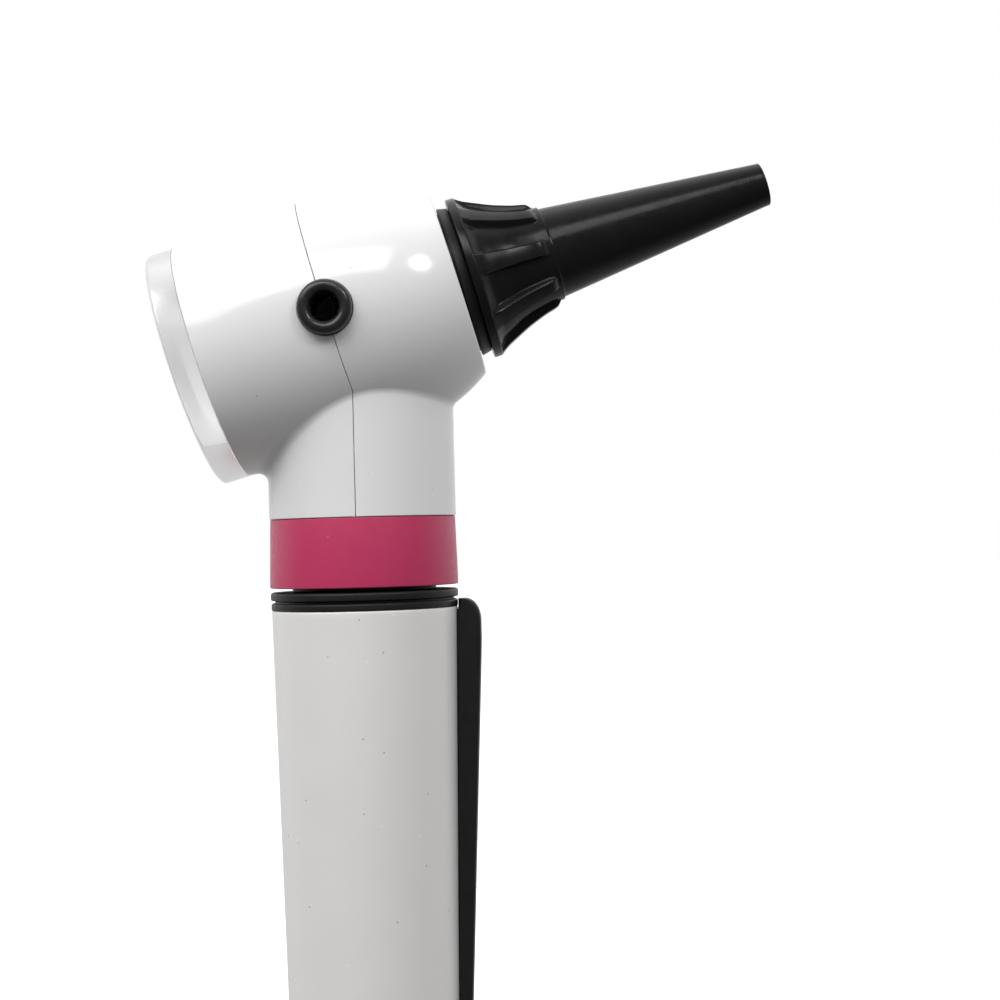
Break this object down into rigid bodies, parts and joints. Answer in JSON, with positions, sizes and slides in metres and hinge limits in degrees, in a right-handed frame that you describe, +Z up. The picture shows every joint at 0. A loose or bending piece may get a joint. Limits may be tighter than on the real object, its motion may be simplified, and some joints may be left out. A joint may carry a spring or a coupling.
{
  "type": "otoscope",
  "caption": "Pocket otoscope with a battery handle, pocket clip, turning switch neck, plug-on head, swing-aside magnifier and removable ear speculum.",
  "frame": {"origin": "centre of the flat end of the handle's screw cap", "axes": "+Z up the handle's axis towards the head, +X the way the speculum points, +Y towards the user's left"},
  "size_m": [0.0621, 0.0261, 0.1635],
  "materials": {
    "lacquered_metal": "satin light grey lacquer",
    "liner": "thin insulating sleeve",
    "cell_wrap": "printed-free shrink wrap",
    "nickel": "nickel plate",
    "brass": "turned brass",
    "black_plastic": "semi-gloss moulded",
    "seal_rubber": "matt",
    "insulator": "natural engineering plastic",
    "white_shell": "glossy moulded",
    "pink_ring": "satin anodised look",
    "bulb_glass": "clear",
    "fibre_sheath": "black sheath",
    "fibre_face": "polished fibre ends in resin",
    "funnel_black": "matt inside the viewing path",
    "port_rubber": "smooth soft grommet",
    "lens_clear": "polished acrylic",
    "speculum_black": "glossy moulded, reusable"
  },
  "bodies": {
    "handle": {"handle_tube": "lacquered_metal", "battery_liner": "liner", "cell_lower": "cell_wrap", "cell_lower_terminal": "nickel", "cell_upper": "cell_wrap", "cell_upper_terminal": "nickel", "handle_neck": "black_plastic", "clip_ring": "black_plastic"},
    "clip": {"pocket_clip": "black_plastic"},
    "cap_carrier": {"cap_contact": "brass", "cap_spring": "nickel"},
    "cap": {"end_cap": "black_plastic", "end_cap_seal": "seal_rubber"},
    "rotor": {"switch_rotor": "black_plastic", "rotor_circlip": "nickel", "rotor_bush": "insulator", "bush_collar": "insulator", "contact_rivet": "brass", "plunger_spring": "nickel", "neck_seal": "seal_rubber"},
    "plunger": {"contact_plunger": "brass"},
    "head": {"head_shell_rear": "white_shell", "head_shell_front": "white_shell", "colour_ring": "pink_ring", "head_socket": "nickel", "lamp_holder": "insulator", "lamp_contact": "brass", "lamp_base": "brass", "lamp_bulb": "bulb_glass", "light_guide": "fibre_sheath", "fibre_ring": "fibre_face", "viewing_funnel": "funnel_black", "insufflation_port": "port_rubber", "speculum_holder": "black_plastic", "holder_nut": "black_plastic", "lens_gasket": "seal_rubber", "lens_screw": "nickel"},
    "lens": {"lens": "lens_clear"},
    "speculum": {"speculum": "speculum_black"}
  },
  "joints": [
    {"name": "clip_flex", "type": "hinge", "parent": "handle", "child": "clip", "pos_m": [0.00936, 0, 0.1203], "axis": [0, -1, 0], "range_deg": [0, 5], "stiffness_Nm_per_rad": 0.9},
    {"name": "cap_travel", "type": "slide", "parent": "handle", "child": "cap_carrier", "axis": [0, 0, -1], "range_m": [0, 0.0055]},
    {"name": "cap_turn", "type": "hinge", "parent": "cap_carrier", "child": "cap", "pos_m": [0, 0, 0.002], "axis": [0, 0, -1], "range_deg": [0, 1980]},
    {"name": "switch_twist", "type": "hinge", "parent": "handle", "child": "rotor", "pos_m": [0, 0, 0.12], "axis": [0, 0, 1], "range_deg": [0, 60]},
    {"name": "plunger_press", "type": "slide", "parent": "rotor", "child": "plunger", "axis": [0, 0, -1], "range_m": [0, 0.001], "stiffness_N_per_m": 400, "springref_m": -0.0015, "deforming": ["plunger_spring"]},
    {"name": "head_lift", "type": "slide", "parent": "rotor", "child": "head", "axis": [0, 0, 1], "range_m": [0, 0.01]},
    {"name": "lens_swing", "type": "hinge", "parent": "head", "child": "lens", "pos_m": [-0.0188, 0, 0.15463], "axis": [0.9588, 0, 0.284], "range_deg": [-110, 110]},
    {"name": "speculum_pull", "type": "slide", "parent": "head", "child": "speculum", "axis": [0.9588, 0, 0.284], "range_m": [0, 0.01]}
  ],
  "couplings": [
    {"joint": "cap_turn", "follows": "cap_travel", "rad_per_m": 6283.2}
  ]
}
